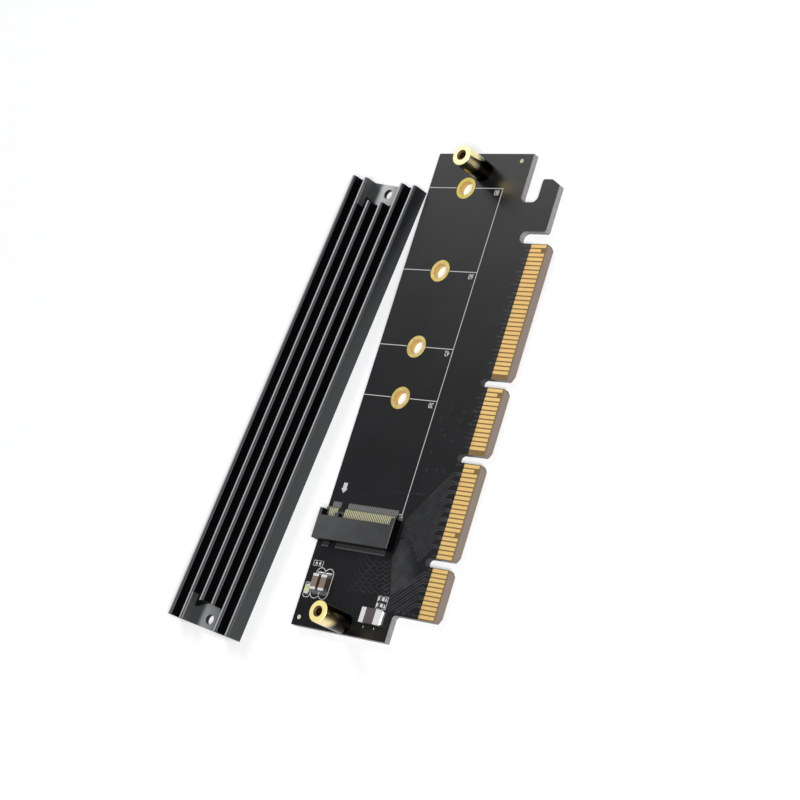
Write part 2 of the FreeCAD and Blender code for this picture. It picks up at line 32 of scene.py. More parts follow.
mm = 0.001
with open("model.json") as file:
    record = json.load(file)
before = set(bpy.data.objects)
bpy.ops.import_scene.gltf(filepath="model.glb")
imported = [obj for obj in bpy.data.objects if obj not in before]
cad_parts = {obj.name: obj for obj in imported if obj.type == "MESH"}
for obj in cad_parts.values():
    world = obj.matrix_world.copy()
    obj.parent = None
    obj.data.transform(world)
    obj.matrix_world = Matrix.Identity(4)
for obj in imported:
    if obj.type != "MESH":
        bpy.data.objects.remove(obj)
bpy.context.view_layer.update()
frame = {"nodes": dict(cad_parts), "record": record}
nodes = frame["nodes"]
print("frame loaded:", len(nodes), "nodes")


def span(node):
    low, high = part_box(node)
    return low / mm, high / mm


boardHigh = span("circuit_board")[1]
boardTop = boardHigh.z
holeX = {length: sum(end.x for end in span(f"drive_hole_plating_{length}")) / 2
         for length in ("30", "42", "60", "80")}
ringLow, ringHigh = span("drive_hole_plating_80")
ringRadius = (ringHigh.x - ringLow.x) / 2
driveY = (ringLow.y + ringHigh.y) / 2
fingerRoot = span("edge_contacts_top_1")[1].y


# Shader building: values are worked out with ordinary Python signs


class Value:
    def __init__(self, shader, socket):
        self.shader = shader
        self.socket = socket

    def maths(self, operation, first, second):
        return self.shader.node("ShaderNodeMath", {"operation": operation}, {0: first, 1: second})

    def __add__(self, other):
        return self.maths("ADD", self, other)

    def __radd__(self, other):
        return self.maths("ADD", other, self)

    def __sub__(self, other):
        return self.maths("SUBTRACT", self, other)

    def __rsub__(self, other):
        return self.maths("SUBTRACT", other, self)

    def __mul__(self, other):
        return self.maths("MULTIPLY", self, other)

    def __rmul__(self, other):
        return self.maths("MULTIPLY", other, self)

    def __gt__(self, other):
        return self.maths("GREATER_THAN", self, other)

    def __lt__(self, other):
        return self.maths("LESS_THAN", self, other)

    def __abs__(self):
        return self.maths("ABSOLUTE", self, 0.0)

    def within(self, low, high):
        return (self > low) * (self < high)


class Shader:
    def __init__(self, name):
        self.material = bpy.data.materials.new(name)
        self.material.use_nodes = True
        self.tree = self.material.node_tree
        self.tree.nodes.clear()
        coordinates = self.node("ShaderNodeTexCoord", output="Object")
        self.place = self.node("ShaderNodeVectorMath", {"operation": "SCALE"},
                               {0: coordinates, "Scale": 1 / mm})
        self.x, self.y, self.z = self.split(self.place)

    def node(self, kind, settings=None, inputs=None, output=0):
        made = self.tree.nodes.new(kind)
        for name, value in (settings or {}).items():
            setattr(made, name, value)
        for name, value in (inputs or {}).items():
            socket = made.inputs[name]
            if isinstance(value, Value):
                self.tree.links.new(value.socket, socket)
            elif socket.type == "RGBA" and len(value) == 3:
                socket.default_value = (*value, 1.0)
            else:
                socket.default_value = value
        return Value(self, made.outputs[output]) if made.outputs else None

    def split(self, vector):
        made = self.node("ShaderNodeSeparateXYZ", {}, {"Vector": vector}).socket.node
        return [Value(self, made.outputs[axis]) for axis in "XYZ"]

    def noise(self, scale, detail=2.0, stretch=(1, 1, 1), turn=0.0):
        place = self.node("ShaderNodeMapping", {}, {
            "Vector": self.place, "Rotation": (0, 0, turn), "Scale": stretch})
        return self.node("ShaderNodeTexNoise", {}, {
            "Vector": place, "Scale": scale, "Detail": detail})

    def fade(self, value, low, high, start=0.0, end=1.0):
        return self.node("ShaderNodeMapRange", {"interpolation_type": "SMOOTHSTEP"}, {
            "Value": value, "From Min": low, "From Max": high, "To Min": start, "To Max": end})

    def mix(self, factor, first, second):
        return self.node("ShaderNodeMix", {"data_type": "RGBA"},
                         {0: factor, 6: first, 7: second}, 2)

    def bump(self, height, deep):
        return self.node("ShaderNodeBump", {}, {"Height": height, "Distance": deep * mm})

    def facing(self):
        return self.split(self.node("ShaderNodeNewGeometry", output="True Normal"))

    def surface(self, tone, roughness, **others):
        inputs = {"Base Color": tone, "Roughness": roughness}
        for name, value in others.items():
            inputs[name.replace("_", " ")] = value
        skin = self.node("ShaderNodeBsdfPrincipled", {}, inputs)
        self.node("ShaderNodeOutputMaterial", {}, {"Surface": skin})
        return self.material


# Board: solder mask on its faces, glass-fibre layers on its cut edges, bare laminate on the tab

maskLook = {
    "tone": (0.0042, 0.0044, 0.0048),
    "cloudTone": (0.0062, 0.0064, 0.0070),
    "cloudScale": 0.12,
    "weaveScale": 2.2,
    "weaveStretch": 0.15,
    "cloudShare": 0.6,
    "weaveShare": 0.3,
    "roughness": 0.35,
    "relief": 0.004,
    "edgeTone": (0.29, 0.284, 0.28),
    "edgeDark": (0.18, 0.173, 0.169),
    "layerScale": 3.2,
    "layerStretch": (0.25, 0.25, 5.0),
    "fibreScale": 6.0,
    "fibreShare": 0.2,
    "bareTone": (0.19, 0.105, 0.022),
    "bareRoughness": 0.72,
    "bareTop": 1.2,
    "bevelTone": (0.19, 0.148, 0.118),
    "bevelFrom": 0.95,
    "bevelTo": 1.25,
    # painted shade for the inner ends of the notches
    "notchTone": (0.035, 0.035, 0.037),
    "notchInset": 0.5,
    "notchDeep": 1.4,
    "tabBefore": 0.35,
    "tabAfter": 0.2,
    "tabClear": 0.1,
    "rootClear": 0.01,
}


def makeMask():
    look = maskLook
    shader = Shader("solder_mask_on_laminate")
    tabLow = span("edge_contacts_top_1")[0].x - look["tabBefore"]
    tabHigh = span("edge_contacts_top_4")[1].x + look["tabAfter"]
    flat = abs(shader.facing()[2]) > 0.5
    alongTab = shader.x.within(tabLow - look["tabClear"], tabHigh + look["tabClear"])
    overTab = alongTab * (shader.y < fingerRoot + look["rootClear"])
    masked = flat * (1 - overTab)
    cloud = shader.noise(look["cloudScale"], 3.0)
    narrow = look["weaveStretch"]
    weave = (shader.noise(look["weaveScale"], 2.0, (1.0, narrow, 1.0)) * 0.5
             + shader.noise(look["weaveScale"], 2.0, (narrow, 1.0, 1.0)) * 0.5)
    patches = shader.fade(cloud, 0.46, 0.56) * look["cloudShare"] + weave * look["weaveShare"]
    mask = shader.mix(patches, look["tone"], look["cloudTone"])
    layers = shader.noise(look["layerScale"], 3.0, look["layerStretch"])
    fibres = shader.noise(look["fibreScale"], 2.0)
    edge = shader.mix(shader.fade(layers, 0.35, 0.68), look["edgeDark"], look["edgeTone"])
    # the laminate is browner between the contacts than on the bevel in front of them
    pastBevel = shader.fade(shader.y, look["bevelFrom"], look["bevelTo"])
    bare = shader.mix(pastBevel, look["bevelTone"], look["bareTone"])
    bare = shader.mix(fibres * look["fibreShare"], bare, look["edgeDark"])
    edge = shader.mix(shader.y < look["bareTop"], edge, bare)
    # painted shade: the inner ends of the notches, deep in their slots, are darker
    notchShade = (shader.x.within(tabLow + look["notchInset"], tabHigh - look["notchInset"])
                * shader.fade(shader.y, fingerRoot - look["notchDeep"], fingerRoot))
    edge = shader.mix(notchShade, edge, look["notchTone"])
    tone = shader.mix(flat, edge, shader.mix(masked, bare, mask))
    roughness = (masked * (look["roughness"] - look["bareRoughness"]) + look["bareRoughness"]
                 + (cloud - 0.5) * 0.06)
    relief = shader.bump(weave * masked + fibres * (1 - masked) * 2.0, look["relief"])
    return shader.surface(tone, roughness, Normal=relief)


copperLook = {
    "tone": (0.036, 0.0365, 0.039),
    "rowTone": (0.019, 0.0192, 0.0202),
    "rowsFrom": 15.0,
    "rowsTo": 18.0,
    "farTone": (0.008, 0.0082, 0.0088),
    "farFrom": 24.0,
    "farTo": 27.5,
    "areaFrom": 9.8,
    "areaTo": 14.5,
    "areaLean": 0.6,
    "cloudScale": 0.5,
    "cloudShare": 0.4,
    "grainScale": 7.0,
    "relief": 0.004,
}


def makeMaskOverCopper(name, broad=False):
    # copper shows less and less across the card; a broad area also fades out at the contacts
    look = copperLook
    shader = Shader(name)
    cloud = shader.noise(look["cloudScale"], 3.0)
    grain = shader.noise(look["grainScale"], 3.0)
    inRows = shader.fade(shader.y, look["rowsFrom"], look["rowsTo"])
    tone = shader.mix(inRows, look["tone"], look["rowTone"])
    tone = shader.mix(shader.fade(shader.y, look["farFrom"], look["farTo"]), tone, look["farTone"])
    if broad:
        slanted = shader.y - shader.x * look["areaLean"]
        inside = shader.fade(slanted, look["areaFrom"], look["areaTo"])
        tone = shader.mix(inside, maskLook["tone"], look["tone"])
    clouded = shader.fade(cloud, 0.35, 0.65, 0.0, look["cloudShare"])
    tone = shader.mix(clouded, tone, maskLook["cloudTone"])
    return shader.surface(tone, maskLook["roughness"] - 0.04 + grain * 0.08,
                          Normal=shader.bump(grain, look["relief"]))


# Gold: edge contacts, plated drive holes, marks for the placing machine

contactGoldLook = {
    "tone": (0.88, 0.55, 0.17),
    "pale": (0.94, 0.67, 0.27),
    "worn": (0.66, 0.38, 0.12),
    "wornLong": 1.2,
    "wornShare": 0.45,
    "streakScale": 5.0,
    "streakStretch": (4.0, 0.3, 1.0),
    "cloudScale": 0.35,
    # hookFrom to hookTo: painted shade towards the hook
    "hookFrom": 35.0,
    "hookTo": 60.0,
    "hookShare": 0.35,
    "roughness": 0.36,
    "metallic": 0.38,
    "relief": 0.003,
}


def makeEdgeGold():
    # wiped in places near the roots, and darker in tone towards the hook as painted shade
    look = contactGoldLook
    shader = Shader("hard_gold_contacts")
    streaks = shader.noise(look["streakScale"], 3.0, look["streakStretch"])
    cloud = shader.noise(look["cloudScale"], 2.0)
    tone = shader.mix(shader.fade(streaks, 0.2, 0.8, 0.2, 0.8), look["tone"], look["pale"])
    nearRoot = shader.fade(shader.y, fingerRoot - look["wornLong"], fingerRoot,
                           0.0, look["wornShare"])
    tone = shader.mix(nearRoot * shader.fade(cloud, 0.4, 0.65), tone, look["worn"])
    # painted shade: darker in tone towards the hook
    hookShade = shader.fade(shader.x, look["hookFrom"], look["hookTo"], 0.0, look["hookShare"])
    tone = shader.mix(hookShade, tone, look["worn"])
    return shader.surface(tone, look["roughness"] + streaks * 0.18, Metallic=look["metallic"],
                          Normal=shader.bump(streaks, look["relief"]))


platingLook = {
    "barrel": (0.52, 0.33, 0.10),
    "farFrom": 60.0,
    "farTo": 82.0,
    "farShare": 0.9,
    "cloudScale": 0.9,
    "grainScale": 5.0,
    "metallic": 0.42,
    "relief": 0.001,
}
# far is the painted shade tone towards the hook, for rings and marks alike
ringLook = {
    "deep": (0.78, 0.55, 0.14),
    "pale": (0.86, 0.68, 0.24),
    "far": (0.54, 0.45, 0.07),
    "roughness": 0.24,
}
markLook = {
    "deep": (0.80, 0.76, 0.54),
    "pale": (0.86, 0.83, 0.66),
    "far": (0.40, 0.40, 0.24),
    "roughness": 0.4,
}


def makePlating(name, look):
    # painted shade: darker in tone towards the hook, and inside a hole
    shader = Shader(name)
    cloud = shader.noise(platingLook["cloudScale"], 2.0)
    grain = shader.noise(platingLook["grainScale"], 3.0)
    tone = shader.mix(shader.fade(cloud, 0.4, 0.6), look["pale"], look["deep"])
    far = shader.fade(shader.x, platingLook["farFrom"], platingLook["farTo"],
                      0.0, platingLook["farShare"])
    tone = shader.mix(far, tone, look["far"])
    # painted shade on the walls inside a hole
    barrel = abs(shader.facing()[2]) < 0.5
    tone = shader.mix(barrel, tone, platingLook["barrel"])
    return shader.surface(tone, look["roughness"] + grain * 0.08, Metallic=platingLook["metallic"],
                          Normal=shader.bump(grain, platingLook["relief"]))


# Brass of the two pillars and of the threads in their bores

pillarLook = {
    "tone": (0.80, 0.62, 0.27),
    "pale": (0.93, 0.82, 0.48),
    "faceTone": (0.98, 0.83, 0.33),
    # painted light: the hook-end pillar's faced end is paler
    "facePale": (0.96, 0.88, 0.50),
    # painted shade inside the bores
    "bore": (0.10, 0.042, 0.014),
    "mouth": 1.22,
    "shade": (0.012, 0.0095, 0.006),
    "shadeLow": 5.3,
    "shadeHigh": 7.8,
    "sideShade": (0.13, 0.095, 0.04),
    "sideFrom": -1.6,
    "sideTo": -0.6,
    "apart": 4.0,
    "latheStretch": (0.4, 0.4, 26.0),
    "relief": 0.003,
}


def makePillarBrass():
    look = pillarLook
    shader = Shader("turned_pillar_brass")
    lathe = shader.noise(1.0, 3.0, look["latheStretch"])
    tone = shader.mix(shader.fade(lathe, 0.3, 0.7), look["tone"], look["pale"])
    inside = None
    for name in ("pillar_bracket_end", "pillar_hook_end"):
        low, high = span(name)
        across, along = shader.x - (low.x + high.x) / 2, shader.y - (low.y + high.y) / 2
        near = (across * across + along * along) < look["mouth"] ** 2
        inside = near if inside is None else inside + near
    # painted shade: the bracket-end pillar is left bright only on the side away from the card
    low, high = span("pillar_bracket_end")
    away = shader.x - (low.x + high.x) / 2
    sideShadeMask = (away < look["apart"]) * shader.fade(away, look["sideFrom"], look["sideTo"])
    tone = shader.mix(sideShadeMask, tone, look["sideShade"])
    # painted reflection: the polished sides are dark towards the board, mirroring the black board
    lifted = shader.fade(shader.z, look["shadeLow"], look["shadeHigh"])
    tone = shader.mix(lifted, look["shade"], tone)
    # the faced ends are duller and yellower than the sides, the hook-end face paler as painted
    # light; painted shade makes the bores darker than both
    faced = shader.facing()[2] > 0.5
    face = shader.mix(away > look["apart"], look["faceTone"], look["facePale"])
    tone = shader.mix(faced, tone, face)
    tone = shader.mix(inside, tone, look["bore"])
    roughness = 0.08 + lathe * 0.1 + inside * 0.25 + faced * 0.3
    return shader.surface(tone, roughness, Metallic=1 - faced * 0.8,
                          Normal=shader.bump(lathe, look["relief"]))


# Moulded plastic: a second tone, painted light, comes in from start to end across the card, and
# side gives upright faces painted shade

plasticLook = {
    "speckleScale": 7.0,
    "cloudScale": 0.25,
    "cloudShare": 0.25,
    "wornShare": 0.75,
    "sideMetallic": 0.85,
    "relief": 0.006,
}
mouldedLook = {
    "socket": {
        "tone": (0.029, 0.0295, 0.031),
        "worn": (0.062, 0.063, 0.065),
        "roughness": 0.48,
        "side": 0.02,
        "start": 17.0,
        "end": 40.0,
    },
    "fuse": {
        "tone": (0.055, 0.052, 0.058),
        "worn": (0.085, 0.070, 0.078),
        "roughness": 0.42,
    },
    "lamp": {
        "tone": (0.62, 0.60, 0.50),
        "worn": (0.72, 0.70, 0.60),
        "roughness": 0.4,
    },
}


def makePlastic(name, tone, worn, roughness, side=1.0, start=0.0, end=1.0):
    look = plasticLook
    shader = Shader(name)
    speckle = shader.noise(look["speckleScale"], 3.0)
    cloud = shader.noise(look["cloudScale"], 2.0)
    # painted light from start to end across the card, with random clouding
    paintedLightAndCloud = (shader.fade(shader.y, start, end, 0.0, look["wornShare"])
            + shader.fade(cloud, 0.35, 0.7) * look["cloudShare"])
    mixed = shader.mix(paintedLightAndCloud, tone, worn)
    # painted shade on upright faces
    upright = shader.facing()[2] < 0.5
    mixed = shader.mix(upright, mixed, tuple(part * side for part in tone))
    return shader.surface(mixed, roughness + speckle * 0.1,
                          Metallic=upright * (look["sideMetallic"] * (1 - side)),
                          Normal=shader.bump(speckle, look["relief"]))


# Tin and solder: shaded is for sides that face along Y, on the parts past the fuse

reflowLook = {
    "grainScale": 5.0,
    "cloudScale": 3.0,
    "cloudDark": 0.82,
    "pastFuse": 1.0,
    "relief": 0.004,
}
tinLook = {
    "foot": {
        "tone": (0.20, 0.20, 0.205),
        "roughness": 0.42,
    },
    "end": {
        "tone": (0.90, 0.90, 0.89),
        "roughness": 0.26,
        "metallic": 0.3,
        "shaded": (0.10, 0.10, 0.105),
    },
    "joint": {
        "tone": (0.62, 0.62, 0.63),
        "roughness": 0.24,
    },
    "pad": {
        "tone": (0.27, 0.27, 0.275),
        "roughness": 0.42,
        "metallic": 0.8,
    },
}


def makeTin(name, tone, roughness, metallic=1.0, shaded=None):
    look = reflowLook
    shader = Shader(name)
    grains = shader.node("ShaderNodeTexVoronoi", {}, {
        "Vector": shader.place, "Scale": look["grainScale"]})
    cloud = shader.noise(look["cloudScale"], 3.0)
    mixed = shader.mix(cloud, tone, tuple(part * look["cloudDark"] for part in tone))
    if shaded:
        pastFuse = shader.y > span("power_fuse_ends")[1].y + look["pastFuse"]
        mixed = shader.mix((abs(shader.facing()[1]) > 0.5) * pastFuse, mixed, shaded)
    return shader.surface(mixed, roughness + cloud * 0.2, Metallic=metallic,
                          Normal=shader.bump(grains, look["relief"]))


# Socket contacts: the springs, with their tails in front and behind, those behind in painted shade

springLook = {
    "tone": (0.80, 0.76, 0.42),
    "pale": (0.95, 0.93, 0.64),
    "frontTail": (0.34, 0.335, 0.33),
    "frontLong": 1.35,
    "rearTail": (0.045, 0.045, 0.045),
    "rearIn": 0.3,
    "streakScale": 2.4,
    "streakStretch": (0.3, 3.0, 1.0),
    "roughness": 0.34,
    "metallic": 0.6,
    "relief": 0.003,
}


def makeSocketContacts():
    look = springLook
    shader = Shader("socket_contact_plating")
    streaks = shader.noise(look["streakScale"], 3.0, look["streakStretch"])
    tone = shader.mix(streaks, look["tone"], look["pale"])
    front = shader.x > span("drive_socket_lower_contacts")[1].x - look["frontLong"]
    # painted shade: the contacts behind the housing are near black
    rearShaded = shader.x < span("drive_socket_housing")[0].x + look["rearIn"]
    tone = shader.mix(rearShaded, shader.mix(front, tone, look["frontTail"]), look["rearTail"])
    return shader.surface(tone, look["roughness"] + streaks * 0.16, Metallic=look["metallic"],
                          Normal=shader.bump(streaks, look["relief"]))


# Small parts: ceramic bodies with painted shade on their sides, the lamp's lens, printed ink

firedLook = {
    "grainScale": 6.0,
    "roughness": 0.38,
    "relief": 0.005,
}
# side is painted shade on the upright faces
ceramicLook = {
    "capacitor": {
        "tone": (0.25, 0.205, 0.165),
        "dark": (0.17, 0.13, 0.10),
        "side": (0.035, 0.021, 0.009),
    },
    "filter": {
        "tone": (0.16, 0.145, 0.13),
        "dark": (0.09, 0.08, 0.07),
        "side": (0.03, 0.026, 0.022),
    },
}
lensLook = {
    "tone": (0.46, 0.51, 0.23),
    "pale": (0.64, 0.69, 0.38),
    "cloudScale": 2.5,
    "roughness": 0.18,
    "coat": 0.4,
    "relief": 0.01,
}
inkLook = {
    "tone": (0.62, 0.62, 0.61),
    "faint": (0.42, 0.42, 0.42),
    "grainScale": 14.0,
    "roughness": 0.55,
    "relief": 0.004,
}


def makeCeramic(name, tone, dark, side):
    look = firedLook
    shader = Shader(name)
    grain = shader.noise(look["grainScale"], 4.0)
    mixed = shader.mix(shader.fade(grain, 0.3, 0.75), dark, tone)
    # painted shade on the upright sides
    mixed = shader.mix(shader.facing()[2] < 0.5, mixed, side)
    return shader.surface(mixed, look["roughness"] + grain * 0.15,
                          Normal=shader.bump(grain, look["relief"]))


def makeLensResin():
    look = lensLook
    shader = Shader("tinted_lens_resin")
    cloud = shader.noise(look["cloudScale"], 2.0)
    mixed = shader.mix(shader.fade(cloud, 0.35, 0.65), look["tone"], look["pale"])
    return shader.surface(mixed, look["roughness"] + cloud * 0.08, Coat_Weight=look["coat"],
                          Normal=shader.bump(cloud, look["relief"]))


def makeInk():
    look = inkLook
    shader = Shader("printed_ink")
    grain = shader.noise(look["grainScale"], 3.0)
    mixed = shader.mix(shader.fade(grain, 0.3, 0.72), look["faint"], look["tone"])
    return shader.surface(mixed, look["roughness"] + grain * 0.2,
                          Normal=shader.bump(grain, look["relief"]))


# Cover: lengths along and across it start at its middle, turn is its angle to the card

coverLook = {
    "turn": math.radians(6.8),
    "tone": (0.0025, 0.0026, 0.0030),
    "pale": (0.0085, 0.0088, 0.0095),
    "outerTone": (0.023, 0.0265, 0.0275),
    "outerFrom": -10.2,
    "outerLong": 48.0,
    "topTone": (0.46, 0.46, 0.46),
    "crestDeep": 0.35,
    "chamferTone": (0.04, 0.0415, 0.044),
    "chamferDark": (0.014, 0.015, 0.016),
    "finPitch": 3.9,
    "litHalf": 0.12,
    "pocketTone": (0.27, 0.275, 0.28),
    "pocketPale": (0.46, 0.46, 0.46),
    "pocketDark": (0.045, 0.047, 0.05),
    "pocketStart": 48.0,
    "pocketHalf": 5.3,
    "pocketTop": 1.5,
    "wallLow": 4.8,
    "wallHigh": 5.8,
    "glintFar": (3.6, 2.0),
    "glintNear": (-3.0, 1.5),
    "deepHalf": 9.7,
    "deepLow": 0.5,
    "lineStretch": (0.03, 7.0, 7.0),
    "cloudScale": 0.09,
    "speckleScale": 9.0,
    "speckleShare": 0.35,
    "roughness": 0.36,
    "relief": 0.006,
}


def makeAnodised():
    look = coverLook
    shader = Shader("black_anodised_extrusion")
    low, high = span("finned_cover")
    middle = (low + high) / 2
    turnX, turnY = math.cos(look["turn"]), math.sin(look["turn"])
    along = (shader.x - middle.x) * turnX - (shader.y - middle.y) * turnY
    across = (shader.x - middle.x) * turnY + (shader.y - middle.y) * turnX
    lines = shader.noise(1.0, 4.0, look["lineStretch"], look["turn"])
    cloud = shader.noise(look["cloudScale"], 2.0)
    speckle = shader.noise(look["speckleScale"], 3.0)
    ny, nz = shader.facing()[1:]
    drawn = shader.fade(lines, 0.3, 0.7) * 0.7 + cloud * 0.3
    tone = shader.mix(drawn, look["tone"], look["pale"])
    # painted reflection: the long outer side next to the card is greyer, less so towards the hook
    # end
    outer = ((across < look["outerFrom"]) * (abs(nz) < 0.5)
             * shader.fade(along, look["outerLong"], 0.0, 0.2, 1.0))
    tone = shader.mix(outer * (0.75 + cloud * 0.5), tone, look["outerTone"])
    # fin tops and chamfers get a painted highlight, the far half of a top most of all
    crest = (shader.z > high.z - look["crestDeep"]) * (nz > 0.3)
    tone = shader.mix(crest, tone, look["chamferTone"])
    # painted shade on the chamfers that face the card
    slant = crest * (ny < -0.3)
    tone = shader.mix(slant, tone, look["chamferDark"])
    half = look["finPitch"] / 2
    fin = shader.node("ShaderNodeMath", {"operation": "WRAP"},
                      {0: across - half, 1: half, 2: -half})
    lit = shader.fade(fin, -look["litHalf"], look["litHalf"]) * (0.75 + lines * 0.5)
    tone = shader.mix(crest * lit, tone, look["topTone"])
    # a milled pocket has painted shade on its floor and wall, with a painted highlight in the
    # middle of its floor, paler at the hook end
    atEnds = abs(along) > look["pocketStart"]
    pocket = (atEnds * (abs(across) < look["pocketHalf"]) * (nz > 0.9)
              * (shader.z < look["pocketTop"]))
    wall = atEnds * across.within(look["wallLow"], look["wallHigh"]) * (ny < -0.5)
    tone = shader.mix(pocket + wall, tone, look["pocketDark"])
    glint = shader.fade(across, *look["glintFar"]) * shader.fade(across, *look["glintNear"], 0.55)
    glintTone = shader.mix(along > 0.0, look["pocketTone"], look["pocketPale"])
    tone = shader.mix(pocket * glint, tone, glintTone)
    height = lines + speckle * look["speckleShare"]
    # next to nothing comes back from the channels between the fins, and little from the slants
    deep = ((abs(across) < look["deepHalf"]) * (1 - crest) * (1 - pocket) * (1 - wall)
            * (shader.z > look["deepLow"]))
    return shader.surface(tone, look["roughness"] + speckle * 0.1 + cloud * 0.06,
                          Metallic=deep * 0.6 + slant * 0.5 + 0.2,
                          Normal=shader.bump(height, look["relief"]))


finishes = {
    "board_mask": makeMask(),
    "edge_gold": makeEdgeGold(),
    "hole_gold": makePlating("plated_ring_gold", ringLook),
    "mark_gold": makePlating("mark_gold", markLook),
    "pillar_brass": makePillarBrass(),
    "socket_plastic": makePlastic("socket_moulding", **mouldedLook["socket"]),
    "socket_tin": makeTin("foot_tin", **tinLook["foot"]),
    "socket_gold": makeSocketContacts(),
    "capacitor_ceramic": makeCeramic("capacitor_ceramic", **ceramicLook["capacitor"]),
    "filter_ceramic": makeCeramic("filter_ceramic", **ceramicLook["filter"]),
    "end_tin": makeTin("end_tin", **tinLook["end"]),
    "fuse_plastic": makePlastic("fuse_moulding", **mouldedLook["fuse"]),
    "lamp_base": makePlastic("lamp_base_resin", **mouldedLook["lamp"]),
    "lamp_lens": makeLensResin(),
    "print_ink": makeInk(),
    "cover_anodised": makeAnodised(),
}
solderTin = makeTin("reflowed_solder", **tinLook["joint"])
padTin = makeTin("socket_pad_solder", **tinLook["pad"])
maskOverCopper = makeMaskOverCopper("solder_mask_over_copper")
maskOverArea = makeMaskOverCopper("solder_mask_over_copper_area", True)
for entry in frame["record"]["subparts"]:
    node = nodes[entry["node"]]
    node.data.materials.clear()
    node.data.materials.append(finishes[entry["material_slot"]])
print("finishes made:", len(finishes))


# Mesh building


def addPiece(name, shape, finish):
    mesh = bpy.data.meshes.new(name)
    bmesh.ops.recalc_face_normals(shape, faces=shape.faces)
    shape.to_mesh(mesh)
    shape.free()
    mesh.materials.append(finish)
    piece = bpy.data.objects.new(name, mesh)
    bpy.context.scene.collection.objects.link(piece)
    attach(piece, "root")
    return piece


def addPrism(shape, corners, low, high, lean=0.0):
    # upright prism over an outline, its top drawn in by lean
    middle = sum((Vector(spot) for spot in corners), Vector((0, 0))) / len(corners)
    base = [shape.verts.new((x * mm, y * mm, low * mm)) for x, y in corners]
    crown = []
    for x, y in corners:
        out = Vector((x, y)) - middle
        spot = middle + out * max(0.0, 1 - lean / max(out.length, 1e-6))
        crown.append(shape.verts.new((spot.x * mm, spot.y * mm, high * mm)))
    shape.faces.new(crown)
    shape.faces.new(base[::-1])
    for here, there in zip(range(len(corners)), [*range(1, len(corners)), 0]):
        shape.faces.new((base[here], base[there], crown[there], crown[here]))


def addBlock(shape, left, right, low, high, bottom, top, lean=0.0):
    addPrism(shape, [(left, low), (right, low), (right, high), (left, high)], bottom, top, lean)


mitreLeast = 0.4  # keeps a sharp corner from reaching out too far


def addRibbon(shape, points, wide, low, high, closed=False, shift=0.0):
    # flat strip along a line, with mitred corners; shift moves it to one side of the line
    spots = [Vector(point) for point in points]
    count = len(spots)
    rings = []
    for number, spot in enumerate(spots):
        before = spots[number - 1] if closed or number else None
        after = spots[(number + 1) % count] if closed or number < count - 1 else None
        ahead = (after - spot).normalized() if after is not None else (spot - before).normalized()
        behind = (spot - before).normalized() if before is not None else ahead
        mean = (ahead + behind).normalized()
        across = Vector((-mean.y, mean.x)) / max(mitreLeast, mean.dot(ahead))
        left, right = spot + across * (shift + wide / 2), spot + across * (shift - wide / 2)
        rings.append([shape.verts.new((place.x * mm, place.y * mm, level * mm)) for place, level
                      in ((left, low), (left, high), (right, high), (right, low))])
    for number in range(count if closed else count - 1):
        here, there = rings[number], rings[(number + 1) % count]
        for side in range(4):
            nextSide = (side + 1) % 4
            shape.faces.new((here[side], here[nextSide], there[nextSide], there[side]))
    if not closed:
        shape.faces.new(rings[0][::-1])
        shape.faces.new(rings[-1])


def capsule(x, y, halfLong, halfWide, steps=12):
    # outline with two straight sides along X and round ends
    spots = []
    for side, start in ((1, -90), (-1, 90)):
        for step in range(steps + 1):
            angle = math.radians(start + 180 * step / steps)
            spots.append((x + side * (halfLong - halfWide) + halfWide * math.cos(angle),
                          y + halfWide * math.sin(angle)))
    return spots


# Printed lines, arrow, length numbers and outlines

printLook = {
    "thick": 0.034,
    "lineWide": 0.16,
    "lineDown": 10.6,
    "lineStart": 8.4,
    "tickPlace": 9.1,
    "tickBelow": 0.225,
    "tickAbove": 0.9,
    "ringClear": 0.18,
    "edgeClear": 0.05,
    "arrowTip": 12.0,
    "arrowHead": 13.05,
    "arrowEnd": 14.35,
    "arrowY": 36.2,
    "arrowHalf": 0.55,
    "arrowHeadHalf": 0.9,
    "numberHigh": 1.25,
    "numberGap": 0.45,
    "numberUp": 0.75,
    "numberSqueeze": 0.78,
    "numberBold": 0.012,
}
capitalShare = 0.72  # how high a number stands in the built-in font, against its size

# capsules round the capacitors, a box with two cut corners round the lamp, brackets round the
# ends of the smallest parts, and a short mark at each side of the fuse
outlineLook = {
    "wide": 0.17,
    "capsuleUp": 0.05,
    "capsuleHalfLong": 3.4,
    "capsuleHalfWide": 1.3,
    "lampLeft": 0.75,
    "lampRight": 0.5,
    "lampBelow": 0.4,
    "lampAbove": 0.42,
    "lampCut": 0.4,
    "lampThin": 0.8,
    "bracketWide": 0.11,
    "bracketLeft": 0.24,
    "bracketRight": 0.3,
    "bracketSplit": 0.16,
    "bracketReach": 1.15,
    "fuseMarkIn": 1.1,
    "fuseMarkFar": 1.0,
    "fuseMarkNear": 0.55,
    "fuseMarkWide": 0.14,
}

# a place left unfilled beside the capacitors: two tinned pads in printed brackets
spareLook = {
    "x": -4.2,
    "y": 36.85,
    "halfLong": 0.78,
    "halfWide": 0.3,
    "gap": 0.22,
    "lean": 0.08,
}


